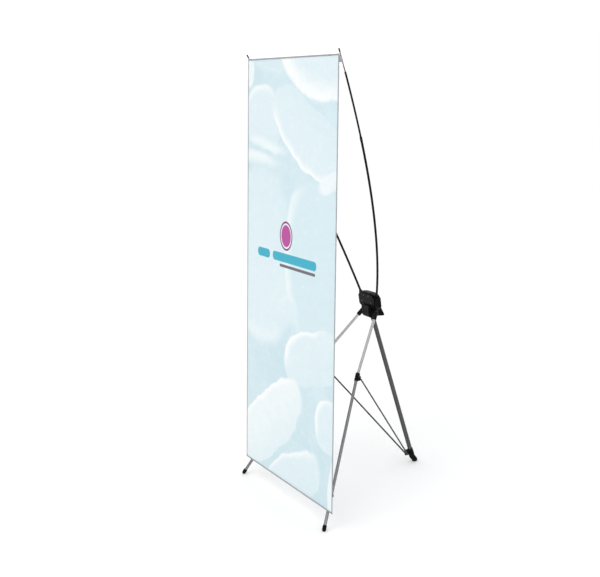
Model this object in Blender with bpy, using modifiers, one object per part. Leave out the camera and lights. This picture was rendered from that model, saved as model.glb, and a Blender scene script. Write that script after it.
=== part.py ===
# Tripod banner stand: a fabric banner held taut by two bowed poles and a folding
# three-legged frame. Metres, +Z up. The banner faces -Y, the rear leg points to +Y,
# and the stand is symmetric about X = 0.
import bpy
import bmesh
import math
from mathutils import Vector, Matrix

for o in list(bpy.data.objects):
    bpy.data.objects.remove(o, do_unlink=True)

# ------------------------------------------------------------------ dimensions
SHIFT_Y = 0.340877          # puts the bounding box centre on Y = 0

BANNER_W = 0.838          # banner width, 33 in
BANNER_H = 1.753          # banner height, 69 in
BANNER_T = 0.0012         # sheet thickness
BANNER_LEAN = math.radians(8.07)   # the banner leans back
BANNER_Y = 0.0443         # bottom edge, from the line through the front feet
BANNER_Z = 0.0689         # bottom edge above the floor
HEM_W = 0.006             # hem tape width
HEM_T = 0.0017            # hem tape thickness

GAP = 0.0003              # clearance between touching pieces
PIN_R = 0.0025            # leg pivot pins
HOLE_R = 0.0028           # their holes

# front leg, right side (the left one is its mirror image)
FRONT_PIVOT = (0.0443, 0.5384, 0.7350)
FRONT_KNEE = (0.1728, 0.3391, 0.4986)      # where upper and lower tube meet
FRONT_END = (0.3880, 0.0248, 0.0259)       # a point of the lower tube near the foot
TUBE_R = 0.00635
TUBE_RI = 0.0054
SOCKET_R = 0.0092

# rear leg, in the plane X = 0
REAR_PIVOT = (0.0, 0.5244, 0.7350)
REAR_SLOPE = 0.18252      # rearward run for each metre of drop
REAR_R = 0.0095
REAR_RI = 0.0083

# braces: flat bars from the bracket on the rear leg to the collars on the front legs
BRACE_FOOT = (0.0105, 0.6270, 0.0435)
BRACE_W = 0.0064
BRACE_T = 0.0026
EAR_OUT = 0.0162          # pivot's offset from the tube axis, sideways
EAR_IN = 0.0095           # pivot's offset from the tube axis, towards the bracket
EAR_UP = -0.0020          # pivot's offset along the tube, from the knee
EAR_FACE = 0.0112         # outer face of the collar's lug, from the tube axis
COLLAR_R = 0.0090

# fold of the tripod, from standing to all legs side by side
FOLD_REAR = math.radians(10.25)
FOLD_FRONT = math.radians(41.0)

# upper poles, right side: a curve from the hub socket to the banner's top corner
POLE_A = (0.0660, 0.5260, 0.7840)
POLE_B = (0.2190, 0.5010, 1.0940)
POLE_C = (0.3330, 0.4000, 1.4710)
POLE_BEHIND = 0.0042      # pole tip axis behind the sheet's middle, at the corner
POLE_R_LOW = 0.00475
POLE_R_HIGH = 0.0038
TIP_R = 0.00225
POLE_JOINT_T = 0.678      # share of the curve at the joint between the two sections
POLE_ROD_T = 0.932        # share of the curve where the tip rod starts
TIP_OVER = 0.0215         # length of the tip rod above the banner's corner


# ------------------------------------------------------------------ helpers
def V(p):
    return Vector((p[0], p[1] - SHIFT_Y, p[2]))


def mirror(v):
    return Vector((-v[0], v[1], v[2]))


parts = bpy.data.collections.new("banner_stand")
cutters = bpy.data.collections.new("cutters")
bpy.context.scene.collection.children.link(parts)
bpy.context.scene.collection.children.link(cutters)


def material(name, colour, rough, metal):
    m = bpy.data.materials.new(name)
    m.use_nodes = True
    b = m.node_tree.nodes["Principled BSDF"]
    b.inputs["Base Color"].default_value = (*colour, 1.0)
    b.inputs["Roughness"].default_value = rough
    b.inputs["Metallic"].default_value = metal
    m.diffuse_color = (*colour, 1.0)
    return m


BLACK = material("black_plastic", (0.018, 0.019, 0.020), 0.45, 0.0)
RUBBER = material("black_rubber", (0.012, 0.012, 0.012), 0.7, 0.0)
FIBRE = material("black_fibreglass", (0.015, 0.018, 0.018), 0.3, 0.0)
BRIGHT = material("bright_tube", (0.72, 0.71, 0.73), 0.25, 1.0)
GREY = material("grey_tube", (0.42, 0.43, 0.43), 0.35, 1.0)
DARK = material("dark_grey_tube", (0.10, 0.10, 0.10), 0.45, 0.2)
STEEL = material("dark_steel", (0.12, 0.12, 0.115), 0.35, 0.8)
SHEET = material("banner_fabric", (0.80, 0.90, 0.94), 0.6, 0.0)
HEM = material("hem_tape", (0.42, 0.45, 0.46), 0.6, 0.0)
POCKET = material("pocket_fabric", (0.52, 0.50, 0.58), 0.7, 0.0)
TIPROD = material("tip_rod", (0.38, 0.35, 0.34), 0.3, 1.0)
TIPCAP = material("tip_cap", (0.05, 0.03, 0.03), 0.5, 0.0)


def frame(p, z, x=None):
    """Matrix at p whose local Z runs along z and whose local X is as near x as it can be."""
    z = Vector(z).normalized()
    if x is None:
        x = Vector((1, 0, 0)) if abs(z.x) < 0.9 else Vector((0, 1, 0))
    x = Vector(x)
    x = (x - z * x.dot(z)).normalized()
    y = z.cross(x)
    m = Matrix((x, y, z)).transposed().to_4x4()
    m.translation = p
    return m


def place(name, mesh, mat, m, coll=None):
    o = bpy.data.objects.new(name, mesh)
    if mat is not None:
        if len(mesh.materials) == 0:
            mesh.materials.append(mat)
    o.matrix_world = m
    (coll or parts).objects.link(o)
    if (coll or parts) is cutters:
        o.hide_render = True
        o.display_type = 'WIRE'
    return o


def smooth(mesh, degrees=35):
    mesh.shade_smooth()
    mesh.set_sharp_from_angle(angle=math.radians(degrees))


def cylinder(name, a, b, r, mat=None, r2=None, seg=20, coll=None):
    a, b = Vector(a), Vector(b)
    length = (b - a).length
    bm = bmesh.new()
    bmesh.ops.create_cone(bm, cap_ends=True, segments=seg, radius1=r,
                          radius2=r if r2 is None else r2, depth=length)
    bmesh.ops.translate(bm, verts=bm.verts, vec=(0, 0, length / 2))
    me = bpy.data.meshes.new(name)
    bm.to_mesh(me)
    bm.free()
    smooth(me)
    return place(name, me, mat, frame(a, b - a), coll)


def box(name, m, lo, hi, mat=None, coll=None, bevel=0.0):
    bm = bmesh.new()
    bmesh.ops.create_cube(bm, size=1.0)
    for v in bm.verts:
        v.co = Vector([lo[i] + (v.co[i] + 0.5) * (hi[i] - lo[i]) for i in range(3)])
    me = bpy.data.meshes.new(name)
    bm.to_mesh(me)
    bm.free()
    o = place(name, me, mat, m, coll)
    if bevel:
        round_edges(o, bevel)
    return o


def round_edges(o, width, segments=2, angle=35):
    b = o.modifiers.new("round", 'BEVEL')
    b.width = width
    b.segments = segments
    b.limit_method = 'ANGLE'
    b.angle_limit = math.radians(angle)
    return b


def turned(name, profile, m, mat=None, steps=20, closed=False, coll=None):
    """A profile of (radius, height) points turned about local Z, outer side from top to bottom."""
    me = bpy.data.meshes.new(name)
    bm = bmesh.new()
    vs = [bm.verts.new((r, 0, z)) for r, z in profile]
    for i in range(len(vs) - 1):
        bm.edges.new((vs[i], vs[i + 1]))
    if closed:
        bm.edges.new((vs[-1], vs[0]))
    bm.to_mesh(me)
    bm.free()
    o = place(name, me, mat, m, coll)
    s = o.modifiers.new("turn", 'SCREW')
    s.axis = 'Z'
    s.angle = 2 * math.pi
    s.steps = steps
    s.render_steps = steps
    s.use_merge_vertices = True
    s.merge_threshold = 0.00001
    s.use_smooth_shade = True
    s.use_normal_calculate = False
    return o


def solid(o):
    """The object's evaluated shape as a mesh of its own, welded, in place of the object."""
    deps = bpy.context.evaluated_depsgraph_get()
    me = bpy.data.meshes.new_from_object(o.evaluated_get(deps))
    bm = bmesh.new()
    bm.from_mesh(me)
    bmesh.ops.remove_doubles(bm, verts=bm.verts, dist=0.00001)
    bm.to_mesh(me)
    bm.free()
    name, m, coll = o.name, o.matrix_world.copy(), o.users_collection[0]
    bpy.data.objects.remove(o, do_unlink=True)
    me.name = name
    n = bpy.data.objects.new(name, me)
    n.matrix_world = m
    coll.objects.link(n)
    if coll is cutters:
        n.hide_render = True
        n.display_type = 'WIRE'
    return n


def prism(name, outline, m, thick, mat=None, coll=None):
    """A flat outline in local XY, thick along local Z and centred on it."""
    cu = bpy.data.curves.new(name, 'CURVE')
    cu.dimensions = '2D'
    cu.fill_mode = 'BOTH'
    cu.extrude = thick / 2
    s = cu.splines.new('POLY')
    s.points.add(len(outline) - 1)
    for i, p in enumerate(outline):
        s.points[i].co = (p[0], p[1], 0, 1)
    s.use_cyclic_u = True
    if mat is not None:
        cu.materials.append(mat)
    o = bpy.data.objects.new(name, cu)
    o.matrix_world = m
    (coll or parts).objects.link(o)
    bpy.context.view_layer.update()
    return solid(o)


def wire(name, points, r, mat, resolution=4):
    """A round rod along points, with flat ends."""
    cu = bpy.data.curves.new(name, 'CURVE')
    cu.dimensions = '3D'
    cu.bevel_depth = r
    cu.bevel_resolution = resolution
    cu.use_fill_caps = True
    cu.materials.append(mat)
    s = cu.splines.new('POLY')
    s.points.add(len(points) - 1)
    s.use_smooth = True
    base = points[0]
    for i, p in enumerate(points):
        s.points[i].co = (*(p - base), 1)
    o = bpy.data.objects.new(name, cu)
    o.location = base
    parts.objects.link(o)
    bpy.context.view_layer.update()
    return solid(o)


def combine(o, other, how):
    b = o.modifiers.new(how.lower() + "_" + other.name, 'BOOLEAN')
    b.operation = how
    b.solver = 'EXACT'
    b.object = other


def cut(o, other):
    combine(o, other, 'DIFFERENCE')


def add(o, other):
    combine(o, other, 'UNION')


def hollow(name, a, b, r, ri, mat, steps=20):
    """A tube from a to b, open at both ends."""
    a, b = Vector(a), Vector(b)
    n = (b - a).length
    return turned(name, [(r, n), (r, 0), (ri, 0), (ri, n)], frame(a, b - a), mat, steps, closed=True)


def pivot(name, p):
    e = bpy.data.objects.new(name, None)
    e.empty_display_size = 0.03
    e.location = p
    parts.objects.link(e)
    return e


def hang(e, *objects):
    bpy.context.view_layer.update()
    for o in objects:
        o.parent = e
        o.matrix_parent_inverse = e.matrix_world.inverted()


# ------------------------------------------------------------------ leg geometry
def turn_about(p, centre, axis, angle):
    return centre + Matrix.Rotation(angle, 3, axis) @ (p - centre)


rear_pivot = V(REAR_PIVOT)
rear_dir = Vector((0, REAR_SLOPE, -1)).normalized()          # down the rear leg
rear_len = rear_pivot.z / -rear_dir.z                        # down to the floor
brace_foot = V(BRACE_FOOT)

fp = V(FRONT_PIVOT)
knee = V(FRONT_KNEE)
up = (fp - knee).normalized()                                # up the upper tube
low = (V(FRONT_END) - knee).normalized()                     # down the lower tube
low_len = knee.z / -low.z
upper_len = (fp - knee).length
foot_point = knee + low * low_len
plan = Vector((foot_point.x - fp.x, foot_point.y - fp.y, 0)).normalized()
front_axis = Vector((-plan.y, plan.x, 0))                    # hinge axis of the right leg

ear_in = (brace_foot - knee)
ear_in = (ear_in - up * ear_in.dot(up)).normalized()         # towards the bracket, square to the tube
ear_out = ear_in.cross(up).normalized()
if ear_out.x < 0:
    ear_out = -ear_out
ear = knee + up * EAR_UP + ear_in * EAR_IN + ear_out * EAR_OUT
brace_dir = (ear - brace_foot).normalized()
brace_len = (ear - brace_foot).length


# where the folded leg and collar put the two ends of the brace
def folded_gap(s):
    e = turn_about(ear + up * s, fp, front_axis, FOLD_FRONT)
    f = turn_about(brace_foot, rear_pivot, Vector((-1, 0, 0)), FOLD_REAR)
    return (e - f).length - brace_len


s_lo, s_hi = 0.08, 0.30
for _ in range(60):
    s_mid = (s_lo + s_hi) / 2
    if folded_gap(s_lo) * folded_gap(s_mid) <= 0:
        s_hi = s_mid
    else:
        s_lo = s_mid
COLLAR_TRAVEL = s_lo
ear_folded = turn_about(ear + up * COLLAR_TRAVEL, fp, front_axis, FOLD_FRONT)
foot_folded = turn_about(brace_foot, rear_pivot, Vector((-1, 0, 0)), FOLD_REAR)
dir_folded = Matrix.Rotation(FOLD_REAR, 3, Vector((1, 0, 0))) @ (ear_folded - foot_folded).normalized()
brace_axis = brace_dir.cross(dir_folded).normalized()
BRACE_TURN = brace_dir.angle(dir_folded)

# banner plane
ban_up = Vector((0, math.sin(BANNER_LEAN), math.cos(BANNER_LEAN)))
ban_front = Vector((0, -math.cos(BANNER_LEAN), math.sin(BANNER_LEAN)))
ban_base = V((0, BANNER_Y, BANNER_Z))


# upper pole curve
pole_a, pole_b, pole_c = V(POLE_A), V(POLE_B), V(POLE_C)
pole_d = ban_base + ban_up * BANNER_H + Vector((BANNER_W / 2, 0, 0)) - ban_front * POLE_BEHIND
pole_start = (pole_b - pole_a).normalized()
pole_end = (pole_d - pole_c).normalized()


def pole_at(t):
    return (pole_a * (1 - t) ** 3 + pole_b * 3 * (1 - t) ** 2 * t
            + pole_c * 3 * (1 - t) * t ** 2 + pole_d * t ** 3)


def pole_tangent(t):
    return ((pole_b - pole_a) * (1 - t) ** 2 + (pole_c - pole_b) * 2 * (1 - t) * t
            + (pole_d - pole_c) * t ** 2).normalized()


rod_foot = pole_at(POLE_ROD_T)

# ------------------------------------------------------------------ hub
XZ = Matrix(((1, 0, 0, 0), (0, 0, -1, 0), (0, 1, 0, 0), (0, 0, 0, 1)))   # local XY is world XZ
YZ = Matrix(((0, 0, 1, 0), (1, 0, 0, 0), (0, 1, 0, 0), (0, 0, 0, 1)))    # local XY is world YZ


def both(points):
    """An outline from its right half, given from top centre to bottom centre."""
    return points + [(-x, z) for x, z in reversed(points) if x > 0]


m = XZ.copy()
m.translation = V((0, 0.5280, 0))
hub = prism("hub_body", both([(0.0290, 0.7970), (0.0590, 0.7925), (0.0775, 0.7775), (0.0765, 0.7390),
                              (0.0600, 0.7290)]), m, 0.0250, BLACK)
round_edges(hub, 0.0028, 2)

m = YZ.copy()
block = prism("hub_block", [(0.5200 - SHIFT_Y, 0.7428), (0.5040 - SHIFT_Y, 0.7428), (0.5005 - SHIFT_Y, 0.7395),
                            (0.5005 - SHIFT_Y, 0.7000), (0.5060 - SHIFT_Y, 0.6925),
                            (0.5500 - SHIFT_Y, 0.6925), (0.5560 - SHIFT_Y, 0.6905), (0.5715 - SHIFT_Y, 0.6885), (0.5745 - SHIFT_Y, 0.6935),
                            (0.5560 - SHIFT_Y, 0.7420), (0.5460 - SHIFT_Y, 0.7790), (0.5200 - SHIFT_Y, 0.7790)],
              m, 0.0600, BLACK, cutters)
round_edges(block, 0.0025, 2)
add(hub, block)

for side, tag in ((1, "right"), (-1, "left")):
    f = (lambda v: Vector(v)) if side == 1 else mirror
    ax = f(front_axis)
    p = f(fp)
    boss = cylinder("boss_" + tag, p - ax * 0.0096, p + ax * 0.0096, 0.0125, BLACK, seg=24, coll=cutters)
    add(hub, boss)
    d = f(pole_start)
    mouth = cylinder("mouth_" + tag, f(pole_a) - d * 0.030, f(pole_a) + d * 0.006, 0.0085, BLACK, seg=24, coll=cutters)
    add(hub, mouth)
for side, tag in ((1, "right"), (-1, "left")):
    f = (lambda v: Vector(v)) if side == 1 else mirror
    ax = f(front_axis)
    p = f(fp)
    out = f(plan)
    slot = box("slot_" + tag, frame(p, (0, 0, 1), out), (-0.0170, -0.0046, -0.060), (0.060, 0.0046, 0.0112), coll=cutters)
    cut(hub, slot)
    hole = cylinder("pin_hole_" + tag, p - ax * 0.0125, p + ax * 0.020, HOLE_R, seg=16, coll=cutters)
    cut(hub, hole)
    d = f(pole_start)
    bore = cylinder("socket_bore_" + tag, f(pole_a) - d * 0.0348, f(pole_a) + d * 0.020, 0.0053, seg=20, coll=cutters)
    cut(hub, bore)
rear_slot = box("rear_slot", Matrix.Translation(rear_pivot), (-0.0053, -0.0125, -0.060), (0.0053, 0.060, 0.0112), coll=cutters)
cut(hub, rear_slot)
rear_hole = cylinder("rear_pin_hole", rear_pivot - Vector((0.0300, 0, 0)), rear_pivot + Vector((0.0300, 0, 0)), HOLE_R,
                     seg=16, coll=cutters)
cut(hub, rear_hole)

m = XZ.copy()
m.translation = V((0, 0.5155 - GAP - 0.0015, 0))
cover = prism("hub_cover", both([(0.0270, 0.7915), (0.0540, 0.7870), (0.0660, 0.7770), (0.0650, 0.7500),
                                 (0.0560, 0.7440)]), m, 0.0030, BLACK)
round_edges(cover, 0.0008, 2)
screws = []
for i, (x, z) in enumerate(((0.0380, 0.7560), (0.0200, 0.7830), (-0.0200, 0.7830), (-0.0380, 0.7560))):
    a = V((x, 0.5155 - GAP - 0.0030 - GAP, z))
    h = cylinder("screw_hole_%d" % i, a + Vector((0, -0.004, 0)), a + Vector((0, 0.0125, 0)), 0.0018, seg=14, coll=cutters)
    cut(cover, h)
    cut(hub, h)
    s = turned("cover_screw_%d" % (i + 1), [(0, 0.0016), (0.0018, 0.0015), (0.0028, 0.0009), (0.0031, 0),
                                            (0.0015, 0), (0.0015, -0.0105), (0, -0.0115)],
               frame(a, (0, -1, 0)), STEEL, 16)
    screws.append(s)

rear_pin = cylinder("rear_pivot_pin", rear_pivot - Vector((0.0292, 0, 0)), rear_pivot + Vector((0.0292, 0, 0)), PIN_R,
                    STEEL, seg=16)
front_pins = []
for side, tag in ((1, "right"), (-1, "left")):
    f = (lambda v: Vector(v)) if side == 1 else mirror
    ax = f(front_axis)
    a = f(fp) - ax * 0.0092
    front_pins.append(turned("front_pivot_pin_" + tag,
                             [(0, 0.0203), (0.0030, 0.0203), (0.0040, 0.0196), (0.0040, 0.0191), (PIN_R, 0.0191),
                              (PIN_R, 0), (0, 0)], frame(a, ax), STEEL, 16))

# ------------------------------------------------------------------ rear leg
at_rear = lambda s: rear_pivot + rear_dir * s
m = frame(rear_pivot, Vector((1, 0, 0)), -rear_dir)      # local X up the leg, local Z across
eye = [(0.0100 * math.cos(a), 0.0100 * math.sin(a)) for a in
       [math.radians(90 - 15 * i) for i in range(13)]]
knuckle = prism("rear_knuckle", [(-0.0500, 0.0085)] + eye + [(-0.0500, -0.0085)], m, 0.0096, BLACK)
plug = turned("rear_plug", [(0, 0.0300), (0.0060, 0.0300), (0.0100, 0.0292), (0.0104, 0.0280), (0.0104, 0.0240),
                            (0.0080, 0.0240), (0.0080, 0), (0, 0)],
              frame(at_rear(0.0780), -rear_dir), BLACK, 24, coll=cutters)
add(knuckle, plug)
knuckle_hole = cylinder("rear_knuckle_hole", rear_pivot - Vector((0.0100, 0, 0)), rear_pivot + Vector((0.0100, 0, 0)),
                        HOLE_R, seg=16, coll=cutters)
cut(knuckle, knuckle_hole)
rear_tube = hollow("rear_leg_tube", at_rear(0.7080), at_rear(0.0780 - 0.0240 + GAP), REAR_R, REAR_RI, DARK, 24)

# boot: a sleeve on the tube's end and a toe that runs back and down to a flat sole
toe_a = V((0, 0.6520, 0.0290))
toe_b = V((0, 0.6655, 0.0078))
toe_r = 0.0120
boot = turned("rear_boot", [(0, 0.0240), (0.0112, 0.0240), (0.0124, 0.0226), (0.0126, 0.0060), (0.0110, 0.0020),
                            (0.0070, 0.0004), (0, 0)],
              frame(at_rear(0.7190), -rear_dir), RUBBER, 24)
n = (toe_b - toe_a).length
arc = [(toe_r * math.cos(math.radians(t)), n + toe_r * math.sin(math.radians(t))) for t in (90, 70, 50, 30, 10)]
arc[0] = (0, n + toe_r)
toe = turned("boot_toe", arc + [(toe_r, n), (toe_r, 0), (toe_r * 0.7, -toe_r * 0.7), (0, -toe_r)],
             frame(toe_a, toe_b - toe_a), RUBBER, 24, coll=cutters)
add(boot, toe)
floor_cut = box("floor_cut", Matrix.Identity(4), (-0.1, 0.1, -0.05), (0.1, 0.5, 0.0), coll=cutters)
cut(boot, floor_cut)
boot_bore = cylinder("boot_bore", at_rear(0.7083), at_rear(0.6600), REAR_R + GAP, seg=24, coll=cutters)
cut(boot, boot_bore)

# bracket: a clamp ring on the tube with a lug in front that carries both braces
s_br = (rear_pivot.z - brace_foot.z) / -rear_dir.z
ring = turned("brace_bracket", [(0.0114, 0.0055), (0.0122, 0.0047), (0.0122, -0.0047), (0.0114, -0.0055),
                                (REAR_R + GAP, -0.0055), (REAR_R + GAP, 0.0055)],
              frame(at_rear(0.6890), -rear_dir), BLACK, 24, closed=True)
lug = box("bracket_lug", Matrix.Translation((0, 0, 0)),
          (-0.0058, brace_foot.y - 0.0068, brace_foot.z - 0.0068),
          (0.0058, brace_foot.y + 0.0110, brace_foot.z + 0.0180), BLACK, cutters)
round_edges(lug, 0.0020, 2)
add(ring, lug)
tube_clear = cylinder("tube_clear", at_rear(0.6300), at_rear(0.7300), REAR_R + GAP, seg=24, coll=cutters)
boot_clear = cylinder("boot_clear", at_rear(0.6947), at_rear(0.7300), 0.0131, seg=24, coll=cutters)
cut(ring, tube_clear)
cut(ring, boot_clear)

brace_pins = []
for side, tag in ((1, "right"), (-1, "left")):
    f = (lambda v: Vector(v)) if side == 1 else mirror
    ab = f(brace_axis)
    if ab.x * side > 0:
        ab = -ab                                            # from the eye in towards the lug
    b = f(brace_foot)
    h = cylinder("lug_hole_" + tag, b + ab * 0.0010, b + ab * 0.0098, 0.0019, seg=14, coll=cutters)
    cut(ring, h)
    brace_pins.append(turned("brace_pin_" + tag, [(0, 0.0124), (0.0022, 0.0122), (0.0029, 0.0114), (0.0029, 0.0107),
                                                  (0.0016, 0.0107), (0.0016, 0), (0, 0)],
                             frame(b + ab * 0.0090, -ab), STEEL, 16))

rear_empty = pivot("rear_leg_pivot", rear_pivot)
hang(rear_empty, knuckle, rear_tube, boot, ring, *brace_pins)

# ------------------------------------------------------------------ front legs, collars and braces
for side, tag in ((1, "right"), (-1, "left")):
    f = (lambda v: Vector(v)) if side == 1 else mirror
    p, u, l, k, ax, out = f(fp), f(up), f(low), f(knee), f(front_axis), f(plan)
    down = -u
    # knuckle: tongue with an eye, and a socket for the tube
    m = frame(p, ax, u)
    kn = prism("front_knuckle_" + tag, [(-0.0300, 0.0080)] + eye + [(-0.0300, -0.0080)], m, 0.0084, BLACK)
    sock = turned("front_socket_" + tag, [(0, 0.0350), (0.0070, 0.0350), (SOCKET_R, 0.0330), (SOCKET_R, 0.0010),
                                          (0.0085, 0), (0, 0)],
                  frame(p + down * 0.0620, u), BLACK, 24, coll=cutters)
    add(kn, sock)
    sb = cylinder("front_bore_" + tag, p + down * 0.0700, p + down * 0.0340, TUBE_R + 0.0004, seg=20, coll=cutters)
    cut(kn, sb)
    pin_hole = cylinder("knuckle_hole_" + tag, p - ax * 0.010, p + ax * 0.010, HOLE_R, seg=16, coll=cutters)
    cut(kn, pin_hole)
    upper = hollow("front_upper_tube_" + tag, k + u * 0.0016, p + down * 0.0345, TUBE_R, TUBE_RI, BRIGHT)
    # joint at the knee: a sleeve for the lower tube and a spigot inside the upper one
    joint = turned("leg_joint_" + tag, [(0, 0.0140), (0.0074, 0.0140), (0.0084, 0.0130), (0.0084, 0.0010),
                                        (0.0078, 0), (TUBE_R + GAP, 0), (TUBE_R + GAP, 0.0110), (0, 0.0110)],
                   frame(k + l * 0.0140, -l), BLACK, 24)
    spig = cylinder("spigot_" + tag, k - u * 0.0020, k + u * 0.0200, 0.0050, seg=20, coll=cutters)
    add(joint, spig)
    lower = hollow("front_lower_tube_" + tag, k + l * (low_len - 0.0150), k + l * 0.0034, TUBE_R, TUBE_RI, GREY)
    # foot cap: a rounded boot, cut flat where it stands
    r = 0.0082
    c_len = low_len - (r - 0.0010) / -l.z
    prof = [(0, 0.0170), (0.0070, 0.0170), (0.0078, 0.0160), (r, 0.0130), (r, 0)]
    prof += [(r * math.cos(math.radians(t)), -r * math.sin(math.radians(t))) for t in (20, 40, 60, 78)]
    prof += [(0, -r)]
    cap = turned("front_foot_cap_" + tag, prof, frame(k + l * c_len, -l), RUBBER, 24)
    fc = box("foot_floor_" + tag, Matrix.Translation(foot_point if side == 1 else mirror(foot_point)),
             (-0.05, -0.05, -0.05), (0.05, 0.05, 0.0), coll=cutters)
    cut(cap, fc)
    cb = cylinder("cap_bore_" + tag, k + l * (low_len - 0.0146), k + l * (low_len - 0.0600), TUBE_R + GAP, seg=20, coll=cutters)
    cut(cap, cb)
    # clip that holds the banner's loop down
    z_clip = 0.1130
    q = (knee.z - z_clip) / -low.z
    clip = turned("leg_clip_" + tag, [(0.0080, 0.0050), (0.0087, 0.0040), (0.0087, -0.0040), (0.0080, -0.0050),
                                      (TUBE_R + GAP, -0.0050), (TUBE_R + GAP, 0.0050)],
                  frame(k + l * q, -l), BLACK, 20, closed=True)
    leg_empty = pivot("front_leg_pivot_" + tag, p)
    hang(leg_empty, kn, upper, joint, lower, cap, clip)

    # collar: a runner on the upper tube with a lug at its side
    ei, eo, e = f(ear_in), f(ear_out), f(ear)
    collar = turned("collar_" + tag, [(0, 0.0185), (0.0088, 0.0185), (0.0098, 0.0176), (0.0098, 0.0126),
                                      (COLLAR_R, 0.0118), (COLLAR_R, 0.0010), (0.0084, 0), (0, 0)],
                    frame(k + u * 0.0016, u), BLACK, 24)
    # local X towards the bracket, local Z outwards, local Y along the tube, one way or the other
    seat = frame(k, eo, ei)
    lo, hi = (-0.0070, 0.0120) if (seat.to_3x3() @ Vector((0, 1, 0))).dot(u) > 0 else (-0.0120, 0.0070)
    lg = box("collar_lug_" + tag, seat, (-0.0040, lo, 0.0), (EAR_IN + 0.0046, hi, EAR_FACE), BLACK, cutters)
    round_edges(lg, 0.0012, 2)
    add(collar, lg)
    bore2 = cylinder("collar_bore_" + tag, k + u * 0.0400, k + u * 0.0006, TUBE_R + 0.0004, seg=24, coll=cutters)
    cut(collar, bore2)
    knee_room = cylinder("knee_room_" + tag, k + u * 0.0011, k - u * 0.0300, 0.0095, seg=24, coll=cutters)
    cut(collar, knee_room)
    run_empty = pivot("collar_run_" + tag, k + u * 0.0108)
    hang(run_empty, collar)

    # brace: a flat bar with rounded ends and a hole in each, and a boss that meets the collar's lug
    b, bd, ab = f(brace_foot), f(brace_dir), f(brace_axis)
    if ab.dot(eo) < 0:
        ab = -ab                                            # outwards
    w = BRACE_W / 2
    end = [(w * math.cos(math.radians(t)), w * math.sin(math.radians(t))) for t in range(90, 271, 20)]
    outline = [(x, y) for x, y in end] + [(brace_len - x, -y) for x, y in end]
    brace = prism("brace_" + tag, outline, frame(b, ab, bd), BRACE_T, STEEL)
    round_edges(brace, 0.0004, 1)
    boss = cylinder("brace_boss_" + tag, e, e - ab * (EAR_OUT - EAR_FACE - 0.0005), 0.0037, seg=20, coll=cutters)
    add(brace, boss)
    eh = cylinder("brace_eye_hole_" + tag, b - ab * 0.0060, b + ab * 0.0060, 0.0019, seg=14, coll=cutters)
    cut(brace, eh)
    uh = cylinder("brace_head_hole_" + tag, e - ab * 0.0090, e + ab * 0.0040, 0.0020, seg=14, coll=cutters)
    cut(brace, uh)
    rivet = turned("brace_rivet_" + tag, [(0, 0.0066), (0.0020, 0.0064), (0.0031, 0.0055), (0.0031, 0.0050),
                                          (0.0017, 0.0050), (0.0017, 0), (0, 0)],
                   frame(e - ab * (0.0050 - BRACE_T / 2 - GAP), ab), STEEL, 16)
    brace_empty = pivot("brace_pivot_" + tag, b)
    hang(brace_empty, brace, rivet)

# ------------------------------------------------------------------ upper poles
for side, tag in ((1, "right"), (-1, "left")):
    f = (lambda v: Vector(v)) if side == 1 else mirror
    a, d = f(pole_a), f(pole_start)
    base = turned("pole_base_" + tag, [(0, 0.0450), (0.0060, 0.0450), (0.0068, 0.0440), (0.0068, 0.0405), (0.0050, 0.0405),
                                       (0.0050, 0.0010), (0.0042, 0), (0, 0)],
                  frame(a - d * 0.0342, d), STEEL, 24)
    # the base's flange stands on the socket's mouth and the pole starts just above it
    n_low, n_high = 26, 14
    low_pts = [f(pole_at(t)) for t in [0.0109 + (POLE_JOINT_T - 0.0100 - 0.0109) * i / n_low for i in range(n_low + 1)]]
    high_pts = [f(pole_at(t)) for t in [POLE_JOINT_T + 0.0100 + (POLE_ROD_T - 0.0004 - POLE_JOINT_T - 0.0100) * i / n_high
                                        for i in range(n_high + 1)]]
    pole_low = wire("pole_lower_" + tag, low_pts, POLE_R_LOW, FIBRE)
    j0, j1 = f(pole_at(POLE_JOINT_T - 0.0097)), f(pole_at(POLE_JOINT_T + 0.0097))
    jn = (j1 - j0).length
    pole_joint = turned("pole_joint_" + tag, [(0, jn), (0.0040, jn), (0.0048, jn - 0.0010), (0.0051, jn - 0.0035),
                                              (0.0051, 0.0006), (0.0046, 0), (0, 0)],
                        frame(j0, j1 - j0), FIBRE, 20)
    pole_high = wire("pole_upper_" + tag, high_pts, POLE_R_HIGH, FIBRE)
    r0 = f(rod_foot)
    r1 = f(pole_d + pole_end * (TIP_OVER - 0.0150))
    dr = (r1 - r0).normalized()
    rod = cylinder("tip_rod_" + tag, r0 + dr * 0.0003, r1, TIP_R, TIPROD, seg=16)
    cap = turned("tip_cap_" + tag, [(0, 0.0150), (0.0018, 0.0146), (0.0029, 0.0132), (0.0032, 0.0110), (0.0032, 0.0006),
                                    (0.0028, 0), (0, 0)],
                 frame(r1 + dr * GAP, dr), TIPCAP, 16)
    pole_empty = pivot("pole_socket_" + tag, a)
    hang(pole_empty, base, pole_low, pole_joint, pole_high, rod, cap)

# ------------------------------------------------------------------ banner
bm4 = frame(ban_base, ban_front, Vector((1, 0, 0)))     # local X right, local Y up, local Z front
hw = BANNER_W / 2
sheet = box("banner_sheet", bm4, (-hw + HEM_W + GAP, HEM_W + GAP, -BANNER_T / 2),
            (hw - HEM_W - GAP, BANNER_H - HEM_W - GAP, BANNER_T / 2), SHEET)
hems = [
    box("hem_bottom", bm4, (-hw, 0, -HEM_T / 2), (hw, HEM_W, HEM_T / 2), HEM),
    box("hem_top", bm4, (-hw, BANNER_H - HEM_W, -HEM_T / 2), (hw, BANNER_H, HEM_T / 2), HEM),
    box("hem_left", bm4, (-hw, HEM_W + GAP, -HEM_T / 2), (-hw + HEM_W, BANNER_H - HEM_W - GAP, HEM_T / 2), HEM),
    box("hem_right", bm4, (hw - HEM_W, HEM_W + GAP, -HEM_T / 2), (hw, BANNER_H - HEM_W - GAP, HEM_T / 2), HEM),
]


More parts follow.
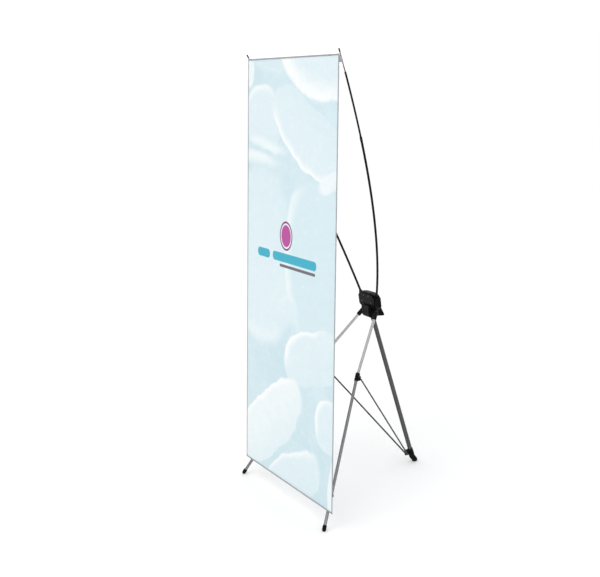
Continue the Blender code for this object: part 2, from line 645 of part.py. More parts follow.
def pocket(name, p0, p1, r_in, r_out, flip):
    """A sleeve round a rod from p0 to p1, joined to the banner's back by a flat web."""
    d = (p1 - p0).normalized()
    n = (p1 - p0).length
    sleeve = turned(name, [(r_out, n), (r_out, 0), (r_in, 0), (r_in, n)], frame(p0, d), POCKET, 20, closed=True)
    back = -ban_front
    t = (d - back * d.dot(back)).normalized()
    across = back.cross(t)
    d0 = (p0 - ban_base).dot(back)
    d1 = (p1 - ban_base).dot(back)
    length = (p1 - p0).dot(t)
    wall = (r_in + r_out) / 2 / abs(d.dot(t))
    near = HEM_T / 2 + GAP
    m = Matrix((t, back, t.cross(back))).transposed().to_4x4()
    m.translation = p0 - back * d0
    web = prism("web_" + name, [(0, near), (0, d0 - wall), (length, d1 - wall), (length, near)], m, 0.0012, POCKET, cutters)
    add(sleeve, web)
    return sleeve


loops = []
for side, tag in ((1, "right"), (-1, "left")):
    f = (lambda v: Vector(v)) if side == 1 else mirror
    dr = (pole_d + pole_end * (TIP_OVER - 0.0150) - rod_foot).normalized()
    top = pole_d + pole_end * (TIP_OVER - 0.0150)
    loops.append(pocket("top_pocket_" + tag, f(top - dr * 0.0480), f(top - dr * 0.0140), TIP_R + 0.0003, 0.0038, side))
    z0, z1 = 0.0900, 0.1040
    q0, q1 = (knee.z - z0) / -low.z, (knee.z - z1) / -low.z
    loops.append(pocket("bottom_loop_" + tag, f(knee + low * q0), f(knee + low * q1), TUBE_R + 0.0004, 0.0081, side))

banner_empty = pivot("banner_mount", ban_base)
hang(banner_empty, sheet, *hems, *loops)
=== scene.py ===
import bpy
import bmesh
import math
import random
from mathutils import Vector, Matrix, noise


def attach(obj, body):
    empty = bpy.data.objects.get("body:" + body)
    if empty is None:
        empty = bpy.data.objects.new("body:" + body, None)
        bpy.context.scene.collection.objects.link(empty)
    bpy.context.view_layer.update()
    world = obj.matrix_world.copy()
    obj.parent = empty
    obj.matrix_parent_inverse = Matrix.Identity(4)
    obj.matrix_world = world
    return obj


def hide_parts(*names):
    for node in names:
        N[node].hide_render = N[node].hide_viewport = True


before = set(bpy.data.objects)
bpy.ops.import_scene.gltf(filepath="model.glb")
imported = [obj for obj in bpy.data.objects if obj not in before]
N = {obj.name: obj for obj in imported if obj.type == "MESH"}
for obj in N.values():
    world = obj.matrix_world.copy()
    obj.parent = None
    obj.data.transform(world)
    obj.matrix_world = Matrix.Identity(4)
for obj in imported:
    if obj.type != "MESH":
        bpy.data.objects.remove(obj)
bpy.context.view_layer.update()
random.seed(11)

# ------------------------------------------------------------------ places, in the row frame
SH = 0.340877
SCENE = bpy.context.scene


def V(x, y, z):
    return Vector((x, y - SH, z))


def mirror(v):
    return Vector((-v[0], v[1], v[2]))


FP = V(0.0443, 0.5384, 0.7350)
KNEE = V(0.1728, 0.3391, 0.4986)
LOW = (V(0.3880, 0.0248, 0.0259) - KNEE).normalized()
UP = (FP - KNEE).normalized()
RP = V(0, 0.5244, 0.7350)
RDIR = Vector((0, 0.18252, -1)).normalized()
BAN_W, BAN_H = 0.838, 1.753
LEAN = math.radians(8.07)
BAN_UP = Vector((0, math.sin(LEAN), math.cos(LEAN)))
BAN_N = Vector((0, -math.cos(LEAN), math.sin(LEAN)))
BAN_O = V(0, 0.0443, 0.0689)
PA, PB, PC = V(0.066, 0.526, 0.784), V(0.219, 0.501, 1.094), V(0.333, 0.400, 1.471)
PD = BAN_O + BAN_UP * BAN_H + Vector((BAN_W / 2, 0, 0)) - BAN_N * 0.0042
P_START = (PB - PA).normalized()
P_END = (PD - PC).normalized()


def pole_at(t):
    return PA * (1 - t) ** 3 + PB * 3 * (1 - t) ** 2 * t + PC * 3 * (1 - t) * t ** 2 + PD * t ** 3


# ------------------------------------------------------------------ camera
yaw, pitch, roll = math.radians(65.57), math.radians(12.44), math.radians(-6.82)
d = Vector((-math.sin(yaw) * math.cos(pitch), math.cos(yaw) * math.cos(pitch), -math.sin(pitch)))
r = Vector((math.cos(yaw), math.sin(yaw), 0))
u = r.cross(d)
r, u = r * math.cos(roll) + u * math.sin(roll), -r * math.sin(roll) + u * math.cos(roll)
cam = bpy.data.cameras.new("camera")
cam.sensor_fit = 'HORIZONTAL'
cam.sensor_width = 36.0
cam.lens = 36.0 * 1195.3 / 600.0
cam.clip_start = 0.05
cam.clip_end = 200.0
cam_o = bpy.data.objects.new("camera", cam)
m = Matrix((r, u, -d)).transposed().to_4x4()
m.translation = V(4.354, -1.765, 1.929)
cam_o.matrix_world = m
SCENE.collection.objects.link(cam_o)
SCENE.camera = cam_o
SCENE.view_settings.view_transform = 'Standard'
SCENE.view_settings.look = 'None'


# ------------------------------------------------------------------ node helpers
def srgb(*c):
    return tuple(((x / 255.0) / 12.92 if x / 255.0 <= 0.04045 else ((x / 255.0 + 0.055) / 1.055) ** 2.4) for x in c)


class Mat:
    """A Principled material with short ways to add nodes."""

    def __init__(self, name, colour, rough=0.5, metal=0.0, **sockets):
        self.m = bpy.data.materials.new(name)
        self.m.use_nodes = True
        self.t = self.m.node_tree
        self.b = self.t.nodes["Principled BSDF"]
        self.b.inputs["Base Color"].default_value = (*colour, 1)
        self.b.inputs["Roughness"].default_value = rough
        self.b.inputs["Metallic"].default_value = metal
        for k, v in sockets.items():
            self.b.inputs[k.replace("_", " ")].default_value = v
        self.m.diffuse_color = (*colour, 1)

    def n(self, kind, **props):
        x = self.t.nodes.new("ShaderNode" + kind)
        for k, v in props.items():
            setattr(x, k, v)
        return x

    def link(self, a, b):
        self.t.links.new(a, b)

    def coords(self, out="Object"):
        return self.n("TexCoord").outputs[out]

    def mapping(self, vec, scale=(1, 1, 1), rot=(0, 0, 0), loc=(0, 0, 0), kind='POINT'):
        x = self.n("Mapping", vector_type=kind)
        x.inputs["Scale"].default_value = scale
        x.inputs["Rotation"].default_value = rot
        x.inputs["Location"].default_value = loc
        self.link(vec, x.inputs["Vector"])
        return x.outputs[0]

    def noise(self, vec, scale, detail=3.0, rough=0.5, out="Fac", distortion=0.0):
        x = self.n("TexNoise")
        x.inputs["Scale"].default_value = scale
        x.inputs["Detail"].default_value = detail
        x.inputs["Roughness"].default_value = rough
        x.inputs["Distortion"].default_value = distortion
        if vec is not None:
            self.link(vec, x.inputs["Vector"])
        return x.outputs[out]

    def range(self, val, a, b, c, e, smooth=False):
        x = self.n("MapRange", interpolation_type='SMOOTHSTEP' if smooth else 'LINEAR')
        for k, v in zip(("From Min", "From Max", "To Min", "To Max"), (a, b, c, e)):
            x.inputs[k].default_value = v
        self.link(val, x.inputs["Value"])
        return x.outputs[0]

    def math(self, op, a, b=None, c=None, clamp=False):
        x = self.n("Math", operation=op, use_clamp=clamp)
        for i, v in enumerate((a, b, c)):
            if v is None:
                continue
            if isinstance(v, (int, float)):
                x.inputs[i].default_value = v
            else:
                self.link(v, x.inputs[i])
        return x.outputs[0]

    def vmath(self, op, a, b=None, scale=None, out=0):
        x = self.n("VectorMath", operation=op)
        for i, v in enumerate((a, b)):
            if v is None:
                continue
            if isinstance(v, (tuple, Vector)):
                x.inputs[i].default_value = tuple(v)
            else:
                self.link(v, x.inputs[i])
        if scale is not None:
            x.inputs["Scale"].default_value = scale
        return x.outputs[out]

    def mix(self, fac, a, b, blend='MIX'):
        x = self.n("Mix", data_type='RGBA', blend_type=blend, clamp_factor=True)
        ins = [i for i in x.inputs if i.type == 'RGBA']
        f = x.inputs[0]
        if isinstance(fac, (int, float)):
            f.default_value = fac
        else:
            self.link(fac, f)
        for s, v in zip(ins, (a, b)):
            if isinstance(v, tuple):
                s.default_value = (*v[:3], 1)
            else:
                self.link(v, s)
        return [o for o in x.outputs if o.type == 'RGBA'][0]

    def colour(self, c):
        self.link(c, self.b.inputs["Base Color"])

    def rough(self, f):
        self.link(f, self.b.inputs["Roughness"])

    def bump(self, height, strength=0.3, distance=0.0005):
        x = self.n("Bump")
        x.inputs["Strength"].default_value = strength
        x.inputs["Distance"].default_value = distance
        self.link(height, x.inputs["Height"])
        self.link(x.outputs[0], self.b.inputs["Normal"])


def axis_rotation(axis):
    """Euler angles of a mapping that turns axis onto Z."""
    q = Vector(axis).normalized().rotation_difference(Vector((0, 0, 1)))
    return tuple(q.to_euler())


def plastic(name, colour, rough, grain=900.0, bump=0.25, spread=0.12, lift=0.35, spec=0.16):
    k = Mat(name, colour, rough, 0.0, Specular_IOR_Level=spec)
    c = k.coords()
    fine = k.noise(c, grain, 2.0, 0.6)
    wide = k.noise(c, 28.0, 4.0, 0.55)
    pale = tuple(min(1, x * (1 + lift) + 0.004) for x in colour)
    k.colour(k.mix(k.range(wide, 0.35, 0.7, 0, 1), colour, pale))
    k.rough(k.range(k.noise(c, 60.0, 3.0, 0.6), 0.3, 0.7, rough - spread, rough + spread))
    k.bump(fine, bump, 0.0004)
    return k.m


def tube(name, colour, rough, metal, axis, streak=0.25, coat=0.0, spec=0.5):
    """Drawn tube: fine lines along its axis, faint cloudy wear, and handling marks."""
    k = Mat(name, colour, rough, metal, Specular_IOR_Level=spec)
    k.b.inputs["Coat Weight"].default_value = coat
    c = k.mapping(k.coords(), rot=axis_rotation(axis))
    lines = k.noise(k.mapping(c, scale=(1, 1, 0.012)), 1500.0, 2.0, 0.6)
    cloud = k.noise(k.mapping(c, scale=(1, 1, 0.25)), 70.0, 4.0, 0.6)
    rings = k.noise(k.mapping(c, scale=(0.05, 0.05, 1)), 160.0, 3.0, 0.7)
    dark = tuple(x * (1 - streak) for x in colour)
    pale = tuple(min(1, x * (1 + streak * 0.5)) for x in colour)
    col = k.mix(k.range(lines, 0.3, 0.7, 0, 1), dark, pale)
    col = k.mix(k.range(cloud, 0.45, 0.75, 0, 0.5), col, dark)
    k.colour(col)
    k.rough(k.math('ADD', k.range(cloud, 0.3, 0.7, rough - 0.07, rough + 0.1), k.range(rings, 0.4, 0.7, -0.03, 0.06)))
    k.bump(lines, 0.15, 0.0002)
    return k.m


def assign(mat, *names):
    for n in names:
        o = N[n]
        o.data.materials.clear()
        o.data.materials.append(mat)


# ------------------------------------------------------------------ materials of the frame
BLACK = plastic("hub_plastic", srgb(6, 6, 7), 0.42, 1100.0, 0.22, lift=0.5, spec=0.05)
BLACK2 = plastic("fitting_plastic", srgb(9, 9, 10), 0.46, 1100.0, 0.25, lift=0.5, spec=0.10)
RUBBER = plastic("foot_rubber", srgb(14, 14, 14), 0.70, 1500.0, 0.35, 0.08, spec=0.08)
STEEL = Mat("zinc_screws", srgb(92, 93, 92), 0.35, 1.0)
c = STEEL.coords()
STEEL.colour(STEEL.mix(STEEL.range(STEEL.noise(c, 400.0, 3.0), 0.35, 0.65, 0, 1), srgb(70, 71, 70), srgb(120, 121, 118)))
STEEL.rough(STEEL.range(STEEL.noise(c, 900.0, 2.0), 0.3, 0.7, 0.28, 0.45))
STEEL = STEEL.m

assign(BLACK, "hub_body", "hub_cover")
assign(BLACK2, "rear_knuckle", "brace_bracket")
assign(STEEL, "cover_screw_1", "cover_screw_2", "cover_screw_3", "cover_screw_4", "rear_pivot_pin")
assign(RUBBER, "rear_boot")
assign(tube("rear_tube_paint", srgb(84, 85, 84), 0.36, 0.5, RDIR, 0.2, spec=0.25), "rear_leg_tube")
for side, tag in ((1, "right"), (-1, "left")):
    f = (lambda v: Vector(v)) if side == 1 else mirror
    assign(BLACK2, "front_knuckle_" + tag, "leg_joint_" + tag, "leg_clip_" + tag, "collar_" + tag)
    assign(STEEL, "front_pivot_pin_" + tag, "brace_pin_" + tag, "brace_rivet_" + tag)
    assign(RUBBER, "front_foot_cap_" + tag)
    assign(tube("upper_tube_" + tag, srgb(196, 194, 195), 0.22, 1.0, f(UP), 0.2), "front_upper_tube_" + tag)
    assign(tube("lower_tube_" + tag, srgb(134, 135, 135), 0.28, 1.0, f(LOW), 0.22), "front_lower_tube_" + tag)
    assign(tube("brace_steel_" + tag, srgb(72, 72, 69), 0.36, 0.9, f(Vector((0.3069, -0.4967, 0.8118))), 0.25), "brace_" + tag)
    pd = f((PC - PB).normalized())
    assign(tube("pole_fibreglass_" + tag, srgb(9, 10, 10), 0.28, 0.0, pd, 0.3, 0.0, 0.12),
           "pole_lower_" + tag, "pole_joint_" + tag, "pole_upper_" + tag)
    assign(BLACK2, "pole_base_" + tag)
    assign(tube("tip_rod_metal_" + tag, srgb(128, 104, 102), 0.36, 0.85, f(P_END), 0.3), "tip_rod_" + tag)
    assign(plastic("tip_cap_" + tag, srgb(66, 48, 46), 0.5, 1200.0), "tip_cap_" + tag)


# ------------------------------------------------------------------ banner print
def print_material():
    def ink(*c):
        return tuple(x * 0.925 for x in srgb(*c))

    k = Mat("banner_print", ink(226, 240, 245), 0.62, 0.0, Sheen_Weight=0.05, Specular_IOR_Level=0.15)
    uv = k.coords("UV")
    warp = k.vmath('SUBTRACT', k.noise(uv, 4.5, 3.0, 0.55, "Color"), (0.5, 0.5, 0.5))
    p = k.vmath('ADD', uv, k.vmath('SCALE', warp, scale=0.075))
    fine = k.noise(uv, 22.0, 5.0, 0.62)
    broad = k.noise(uv, 3.2, 4.0, 0.6)
    deep, low, mid = ink(205, 229, 236), ink(216, 236, 242), ink(226, 241, 246)
    light, rim = ink(240, 248, 250), ink(252, 254, 255)
    col = k.mix(k.range(broad, 0.35, 0.65, 0, 1), deep, low)
    # centre (x, y from the bottom), half sizes, turn, colour inside, rim side, rim strength, edge softness
    stones = [
        (0.14, 0.93, 0.30, 0.37, 0, mid, (-0.4, -1), 0.35, 0.09),
        (0.66, 0.95, 0.27, 0.33, 4, low, (-1, 0.1), 0.60, 0.05),
        (0.40, 0.72, 0.10, 0.06, 20, mid, (0, 1), 0.30, 0.30),
        (0.00, 1.72, 0.075, 0.085, 0, light, (1, -0.6), 0.6, 0.14),
        (0.22, 1.80, 0.16, 0.10, -8, low, (0, -1), 0.2, 0.2),
        (0.80, 1.95, 0.52, 0.365, 0, mid, (-0.7, -1), 1.0, 0.030),
        (0.155, 1.505, 0.175, 0.130, -4, mid, (-0.3, 1), 0.7, 0.07),
        (0.10, 1.335, 0.17, 0.026, -5, light, (0, 1), 0.3, 0.5),
        (0.19, 1.400, 0.15, 0.020, -7, light, (0, -1), 0.9, 0.6),
        (0.575, 1.452, 0.335, 0.128, -24, mid, (-0.8, -1), 1.0, 0.035),
        (0.82, 1.285, 0.14, 0.036, 14, light, (-1, 0), 0.5, 0.2),
        (0.66, 0.575, 0.275, 0.115, 12, mid, (-1, 0.9), 1.0, 0.045),
        (0.245, 0.225, 0.355, 0.135, 33, light, (-0.6, 1), 1.0, 0.035),
        (0.84, 0.335, 0.165, 0.108, 8, mid, (-1, 0.5), 0.95, 0.05),
        (0.47, 0.035, 0.28, 0.105, 24, mid, (-0.4, 1), 0.8, 0.05),
        (0.865, 0.06, 0.065, 0.14, 0, light, (-1, 0), 0.6, 0.12),
    ]
    for cx, cy, a, b, turn, inside, side, gain, soft in stones:
        q = k.mapping(p, scale=(a, b, 1), rot=(0, 0, math.radians(turn)), loc=(cx, cy, 0), kind='TEXTURE')
        s = k.n("SeparateXYZ")
        k.link(q, s.inputs[0])
        px = k.math('POWER', k.math('ABSOLUTE', s.outputs[0]), 2.5)
        py = k.math('POWER', k.math('ABSOLUTE', s.outputs[1]), 2.5)
        dist = k.math('POWER', k.math('ADD', px, py), 0.4)
        mask = k.range(dist, 1 - soft, 1 + soft, 1, 0, True)
        t = math.radians(-turn)
        sx, sy = side[0] * math.cos(t) - side[1] * math.sin(t), side[0] * math.sin(t) + side[1] * math.cos(t)
        n = math.hypot(sx, sy)
        face = k.math('ADD', k.math('MULTIPLY', s.outputs[0], sx / n), k.math('MULTIPLY', s.outputs[1], sy / n))
        edge = k.math('MULTIPLY', k.range(dist, 0.72, 0.97, 0, 1, True), k.range(face, 0.25, 0.95, 0, gain, True))
        shade = k.mix(k.range(face, -1.0, 0.4, 0.45, 0.0, True), inside, low)
        shade = k.mix(edge, shade, rim)
        col = k.mix(mask, col, shade)
    # pale veins and faint speckle over everything
    vein = k.noise(k.mapping(p, rot=(0, 0, 0.5), scale=(1, 2.2, 1)), 7.0, 4.0, 0.6, distortion=0.6)
    vein = k.math('ABSOLUTE', k.math('SUBTRACT', vein, 0.5))
    col = k.mix(k.range(vein, 0.0, 0.030, 0.13, 0.0, True), col, rim)
    col = k.mix(k.range(fine, 0.52, 0.75, 0.0, 0.35), col, low)
    col = k.mix(k.range(fine, 0.25, 0.42, 0.25, 0.0), col, rim)
    # a plain generic mark: a disc with a ring and two bars
    s = k.n("SeparateXYZ")
    k.link(uv, s.inputs[0])

    def disc(x, y, r):
        dd = k.vmath('LENGTH', k.vmath('MULTIPLY', k.vmath('SUBTRACT', uv, (x, y, 0)), (1, 1, 0)), out=1)
        return k.range(dd, r - 0.0012, r + 0.0012, 1, 0)

    def bar(x, y, hx, hy):
        ax = k.math('MAXIMUM', k.math('SUBTRACT', k.math('ABSOLUTE', k.math('SUBTRACT', s.outputs[0], x)), hx - hy), 0.0)
        ay = k.math('ABSOLUTE', k.math('SUBTRACT', s.outputs[1], y))
        dd = k.math('SQRT', k.math('ADD', k.math('MULTIPLY', ax, ax), k.math('MULTIPLY', ay, ay)))
        return k.range(dd, hy - 0.0012, hy + 0.0012, 1, 0)

    magenta, plum, teal, grey = ink(190, 78, 158), ink(140, 52, 116), ink(62, 178, 202), ink(112, 108, 114)
    ring = k.math('SUBTRACT', disc(0.395, 1.036, 0.060), disc(0.395, 1.036, 0.052), clamp=True)
    col = k.mix(ring, col, plum)
    col = k.mix(disc(0.395, 1.036, 0.045), col, magenta)
    col = k.mix(bar(0.175, 0.945, 0.062, 0.0185), col, teal)
    col = k.mix(bar(0.470, 0.945, 0.205, 0.0185), col, teal)
    col = k.mix(bar(0.500, 0.911, 0.165, 0.0060), col, grey)
    k.colour(col)
    weave_coords = k.mapping(uv, scale=(1, 1, 1))
    w1 = k.n("TexWave", wave_type='BANDS', bands_direction='X')
    w1.inputs["Scale"].default_value = 420.0
    w1.inputs["Distortion"].default_value = 0.6
    w2 = k.n("TexWave", wave_type='BANDS', bands_direction='Y')
    w2.inputs["Scale"].default_value = 420.0
    w2.inputs["Distortion"].default_value = 0.6
    k.link(weave_coords, w1.inputs["Vector"])
    k.link(weave_coords, w2.inputs["Vector"])
    k.bump(k.math('MAXIMUM', w1.outputs["Fac"], w2.outputs["Fac"]), 0.12, 0.00025)
    k.rough(k.range(fine, 0.3, 0.7, 0.55, 0.68))
    return k.m


def cloth_material(name, colour, dark, scale=700.0, strength=0.3, sheen=0.15):
    k = Mat(name, colour, 0.75, 0.0, Sheen_Weight=sheen, Specular_IOR_Level=0.2)
    c = k.coords()
    w1 = k.n("TexWave", wave_type='BANDS', bands_direction='X')
    w2 = k.n("TexWave", wave_type='BANDS', bands_direction='Z')
    for w in (w1, w2):
        w.inputs["Scale"].default_value = scale
        w.inputs["Distortion"].default_value = 0.8
        k.link(c, w.inputs["Vector"])
    weave = k.math('MAXIMUM', w1.outputs["Fac"], w2.outputs["Fac"])
    patch = k.noise(c, 45.0, 4.0, 0.6)
    col = k.mix(k.range(weave, 0.2, 0.9, 0.55, 0.0), colour, dark)
    col = k.mix(k.range(patch, 0.4, 0.75, 0.0, 0.5), col, dark)
    k.colour(col)
    k.rough(k.range(patch, 0.3, 0.7, 0.68, 0.85))
    k.bump(weave, strength, 0.0003)
    return k.m


PRINT = print_material()
BACKING = cloth_material("banner_back", srgb(232, 238, 241), srgb(214, 224, 230), 420.0, 0.12)
TAPE = cloth_material("hem_tape_cloth", srgb(158, 161, 166), srgb(126, 130, 136), 900.0)
THREAD = cloth_material("hem_thread", srgb(186, 189, 192), srgb(150, 154, 158), 2500.0)
WEBBING = cloth_material("pocket_webbing", srgb(176, 172, 186), srgb(136, 132, 148), 900.0)
ELASTIC = cloth_material("elastic_loop", srgb(150, 150, 156), srgb(96, 97, 102), 1100.0)


def mesh_object(name, verts, faces, mats, body, face_mats=None, smooth=True):
    me = bpy.data.meshes.new(name)
    me.from_pydata([tuple(v) for v in verts], [], faces)
    for x in mats:
        me.materials.append(x)
    if face_mats is not None:
        me.polygons.foreach_set("material_index", face_mats)
    me.polygons.foreach_set("use_smooth", [smooth] * len(me.polygons))
    me.update()
    o = bpy.data.objects.new(name, me)
    SCENE.collection.objects.link(o)
    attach(o, body)
    return o


def ban(x, y, z=0.0):
    """A point of the banner: x across from the middle, y up from the bottom edge, z to the front."""
    return BAN_O + Vector((x, 0, 0)) + BAN_UP * y + BAN_N * z


HEM = 0.006
HW = BAN_W / 2


def relief(x, y):
    """How far the stretched cloth stands off its flat plane."""
    out = 0.0
    for sx in (-1, 1):
        for sy, y0 in ((1, BAN_H), (-1, 0.0)):
            dx, dy = (sx * HW - x) * sx, (y0 - y) * sy
            rr = math.hypot(dx, dy)
            a = math.atan2(dy, dx)
            fade = math.exp(-rr / 0.16) * (1 - math.exp(-rr / 0.02))
            out += 0.0016 * fade * math.sin(a * 9.0 + 0.6 * sx + 1.1 * sy)
    out += 0.0010 * noise.noise(Vector((x * 2.1, y * 1.3, 3.7)))
    rim = min(1.0, min(HW - abs(x), y, BAN_H - y) / 0.03)
    return out * max(0.0, rim)


def banner_cloth():
    nx, ny = 66, 138
    x0, x1, y0, y1 = -HW + 0.0015, HW - 0.0015, 0.0015, BAN_H - 0.0015
    verts, faces, fm, uvs = [], [], [], []
    t = 0.00035
    for layer in (1, -1):
        for j in range(ny + 1):
            for i in range(nx + 1):
                x, y = x0 + (x1 - x0) * i / nx, y0 + (y1 - y0) * j / ny
                verts.append(ban(x, y, relief(x, y) + layer * t))
                uvs.append((x + HW, y))
    n = (nx + 1) * (ny + 1)
    for j in range(ny):
        for i in range(nx):
            a = j * (nx + 1) + i
            faces.append((a, a + 1, a + nx + 2, a + nx + 1))
            fm.append(0)
            faces.append((n + a, n + a + nx + 1, n + a + nx + 2, n + a + 1))
            fm.append(1)
    edge = [j * (nx + 1) for j in range(ny, -1, -1)] + list(range(1, nx + 1)) \
        + [j * (nx + 1) + nx for j in range(1, ny + 1)] + [ny * (nx + 1) + i for i in range(nx - 1, 0, -1)]
    for a, b in zip(edge, edge[1:] + edge[:1]):
        faces.append((a, a + n, b + n, b))
        fm.append(0)
    o = mesh_object("banner_cloth", verts, faces, [PRINT, BACKING], "banner", fm)
    lay = o.data.uv_layers.new(name="UVMap")
    for loop in o.data.loops:
        lay.data[loop.index].uv = uvs[loop.vertex_index]
    return o


def hem(name, a, b, inward, cad):
    """A folded tape along an edge, rounded outside, with a turned inner lip."""
    a, b, inward = Vector(a), Vector(b), Vector(inward)
    length = (b - a).length
    t = (b - a).normalized()
    n = max(8, int(length / 0.012))
    # section: distance in from the edge, height to the front
    half = [(0.0000, 0.00045), (0.0006, 0.00095), (0.0016, 0.00115), (0.0040, 0.00115), (0.0052, 0.00108), (0.0059, 0.00085),
            (0.0060, 0.00055)]
    sec = half + [(x, -z) for x, z in reversed(half)]
    verts, faces = [], []
    for i in range(n + 1):
        base = a + t * (length * i / n)
        wob = 0.00012 * math.sin(i * 1.7 + length * 9) + 0.00010 * math.sin(i * 0.53)
        for x, z in sec:
            q = base + inward * (x + (wob if x > 0.004 else 0.0))
            xx, yy = (q - BAN_O).x, (q - BAN_O).dot(BAN_UP)
            verts.append(ban(xx, yy, relief(xx, yy) + z))
    s = len(sec)
    for i in range(n):
        for j in range(s):
            k2 = (j + 1) % s
            faces.append((i * s + j, (i + 1) * s + j, (i + 1) * s + k2, i * s + k2))
    faces.append(tuple(range(s)))
    faces.append(tuple(reversed([n * s + j for j in range(s)])))
    o = mesh_object(name, verts, faces, [TAPE], "banner")
    bm = bmesh.new()
    bm.from_mesh(o.data)
    bmesh.ops.recalc_face_normals(bm, faces=bm.faces)
    bm.to_mesh(o.data)
    bm.free()
    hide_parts(cad)
    return o


def stitches(name, a, b, inward, body):
    """A row of lock stitches along a hem, front and back."""
    a, b, inward = Vector(a), Vector(b), Vector(inward)
    length = (b - a).length
    t = (b - a).normalized()
    pitch, n = 0.0060, int((length - 0.012) / 0.0060)
    verts, faces = [], []
    for i in range(n):
        for front in (1, -1):
            c = a + t * (0.008 + pitch * (i + (0.5 if front < 0 else 0))) + inward * 0.0043
            xx, yy = (c - BAN_O).x, (c - BAN_O).dot(BAN_UP)
            c = ban(xx, yy, relief(xx, yy) + front * 0.00112)
            k0 = len(verts)
            for s, rr in ((-0.0020, 0.00006), (-0.0013, 0.00026), (0.0013, 0.00026), (0.0020, 0.00006)):
                for q in range(5):
                    ang = 2 * math.pi * q / 5
                    verts.append(c + t * s + inward * (rr * math.cos(ang)) + BAN_N * (rr * math.sin(ang)))
            for ring in range(3):
                for q in range(5):
                    faces.append((k0 + ring * 5 + q, k0 + ring * 5 + (q + 1) % 5, k0 + ring * 5 + 5 + (q + 1) % 5,
                                  k0 + ring * 5 + 5 + q))
            faces.append(tuple(k0 + q for q in reversed(range(5))))
            faces.append(tuple(k0 + 15 + q for q in range(5)))
    o = mesh_object(name, verts, faces, [THREAD], body)
    bm = bmesh.new()
    bm.from_mesh(o.data)
    bmesh.ops.recalc_face_normals(bm, faces=bm.faces)
    bm.to_mesh(o.data)
    bm.free()
    return o


def wrap(name, p0, p1, radius, thick, mat, body, cad, steps=10, belly=0.0, flare=(0.0, 0.0)):
    """Cloth that leaves the banner's back, goes round a rod from p0 to p1 and comes back: a teardrop in section."""
    d0 = (p1 - p0).normalized()
    back = -BAN_N
    t = (d0 - back * d0.dot(back)).normalized()
    side = back.cross(t)
    base = 0.0009
    seg = 14
    verts, faces = [], []
    for i in range(steps + 1):
        s = i / steps
        c = p0.lerp(p1, s)
        dist = (c - BAN_O).dot(back)
        foot = c - back * (dist - base)
        width = radius * 0.95 + (flare[0] * (1 - s) + flare[1] * s)
        puff = belly * math.sin(math.pi * s)
        loops = []
        for rad, off in ((radius + thick + puff, 0.0), (radius + puff * 0.6, thick)):
            pts = [(-width + off, 0.0)]
            for q in range(seg + 1):
                a = math.pi + 0.35 - (math.pi + 0.7) * q / seg
                pts.append((rad * math.cos(a), (dist - base) + rad * math.sin(a)))
            pts.append((width - off, 0.0))
            loops.append(pts)
        for pts in loops:
            for x, z in pts:
                verts.append(foot + side * x + back * z)
    m2 = seg + 3
    row = 2 * m2
    for i in range(steps):
        a, b = i * row, (i + 1) * row
        for j in range(m2 - 1):
            faces.append((a + j, a + j + 1, b + j + 1, b + j))
            faces.append((a + m2 + j + 1, a + m2 + j, b + m2 + j, b + m2 + j + 1))
        faces.append((a, b, b + m2, a + m2))
        faces.append((a + m2 - 1, a + 2 * m2 - 1, b + 2 * m2 - 1, b + m2 - 1))
    for j in range(m2 - 1):
        faces.append((j + 1, j, m2 + j, m2 + j + 1))
        e = steps * row
        faces.append((e + j, e + j + 1, e + m2 + j + 1, e + m2 + j))
    o = mesh_object(name, verts, faces, [mat], body)
    bm = bmesh.new()
    bm.from_mesh(o.data)
    bmesh.ops.recalc_face_normals(bm, faces=bm.faces)
    bm.to_mesh(o.data)
    bm.free()
    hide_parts(cad)
    return o


cloth = banner_cloth()
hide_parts("banner_sheet")
hems = [
    hem("hem_bottom_tape", ban(-HW, 0), ban(HW, 0), BAN_UP, "hem_bottom"),
    hem("hem_top_tape", ban(-HW, BAN_H), ban(HW, BAN_H), -BAN_UP, "hem_top"),
    hem("hem_left_tape", ban(-HW, HEM), ban(-HW, BAN_H - HEM), Vector((1, 0, 0)), "hem_left"),
    hem("hem_right_tape", ban(HW, HEM), ban(HW, BAN_H - HEM), Vector((-1, 0, 0)), "hem_right"),
]
threads = [
    stitches("thread_bottom", ban(-HW, 0), ban(HW, 0), BAN_UP, "banner"),
    stitches("thread_top", ban(-HW, BAN_H), ban(HW, BAN_H), -BAN_UP, "banner"),
    stitches("thread_left", ban(-HW, HEM), ban(-HW, BAN_H - HEM), Vector((1, 0, 0)), "banner"),
    stitches("thread_right", ban(HW, HEM), ban(HW, BAN_H - HEM), Vector((-1, 0, 0)), "banner"),
]
soft = []
ROD0 = pole_at(0.932)
ROD1 = PD + P_END * (0.0215 - 0.0150)
RDR = (ROD1 - ROD0).normalized()
for side, tag in ((1, "right"), (-1, "left")):
    f = (lambda v: Vector(v)) if side == 1 else mirror
    w = wrap("pocket_" + tag, f(ROD1 - RDR * 0.0400), f(ROD1 - RDR * 0.0145), 0.00260, 0.0008, WEBBING, "banner",
             "top_pocket_" + tag, 12, 0.0003, (0.0022, 0.0004))
    q0, q1 = (KNEE.z - 0.0900) / -LOW.z, (KNEE.z - 0.1040) / -LOW.z
    w2 = wrap("loop_" + tag, f(KNEE + LOW * q0), f(KNEE + LOW * q1), 0.00685, 0.0010, ELASTIC, "banner",
              "bottom_loop_" + tag, 6, 0.0002)
    soft += [w, w2]

# ------------------------------------------------------------------ floor and light
me = bpy.data.meshes.new("floor")
me.from_pydata([(-40, -40, 0), (40, -40, 0), (40, 40, 0), (-40, 40, 0)], [], [(0, 1, 2, 3)])
floor = bpy.data.objects.new("floor", me)
SCENE.collection.objects.link(floor)
fm = Mat("floor_white", (0.97, 0.97, 0.97), 0.9, 0.0, Specular_IOR_Level=0.0)
me.materials.append(fm.m)

world = bpy.data.worlds.new("studio")
SCENE.world = world
world.use_nodes = True
bg = world.node_tree.nodes["Background"]
bg.inputs["Color"].default_value = (1, 1, 1, 1)
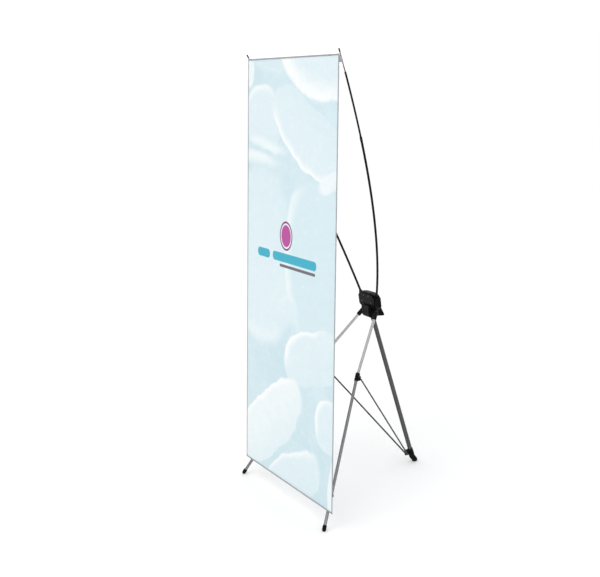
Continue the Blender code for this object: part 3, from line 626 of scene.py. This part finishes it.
# two dim sides in a white studio, which give round metal its darker flanks
wt = world.node_tree
tc = wt.nodes.new("ShaderNodeTexCoord")
dot = wt.nodes.new("ShaderNodeVectorMath")
dot.operation = 'DOT_PRODUCT'
dot.inputs[1].default_value = (0.4136, 0.9104, 0.0)
wt.links.new(tc.outputs["Generated"], dot.inputs[0])
ab = wt.nodes.new("ShaderNodeMath")
ab.operation = 'ABSOLUTE'
wt.links.new(dot.outputs["Value"], ab.inputs[0])
mr = wt.nodes.new("ShaderNodeMapRange")
mr.interpolation_type = 'SMOOTHSTEP'
for key, val in zip(("From Min", "From Max", "To Min", "To Max"), (0.55, 0.95, 1.16, 0.30)):
    mr.inputs[key].default_value = val
wt.links.new(ab.outputs[0], mr.inputs["Value"])
sep = wt.nodes.new("ShaderNodeSeparateXYZ")
wt.links.new(tc.outputs["Generated"], sep.inputs[0])
high = wt.nodes.new("ShaderNodeMapRange")
high.interpolation_type = 'SMOOTHSTEP'
for key, val in zip(("From Min", "From Max", "To Min", "To Max"), (0.10, 0.32, 0.0, 1.0)):
    high.inputs[key].default_value = val
wt.links.new(sep.outputs["Z"], high.inputs["Value"])
blend = wt.nodes.new("ShaderNodeMix")
blend.data_type = 'FLOAT'
blend.inputs["A"].default_value = 1.16
wt.links.new(high.outputs[0], blend.inputs["Factor"])
wt.links.new(mr.outputs[0], blend.inputs["B"])
wt.links.new(blend.outputs["Result"], bg.inputs["Strength"])


def area(name, loc, target, size, power, size_y=None):
    l = bpy.data.lights.new(name, 'AREA')
    l.energy = power
    l.size = size
    if size_y:
        l.shape = 'RECTANGLE'
        l.size_y = size_y
    o = bpy.data.objects.new(name, l)
    o.location = loc
    o.rotation_euler = (Vector(target) - Vector(loc)).to_track_quat('-Z', 'Y').to_euler()
    SCENE.collection.objects.link(o)
    return o


area("key", (0.6, -5.0, 3.6), (0, 0, 0.9), 3.0, 26.0)
area("side", (5.0, -0.6, 2.8), (0, 0.2, 0.8), 0.9, 14.0, 2.4)
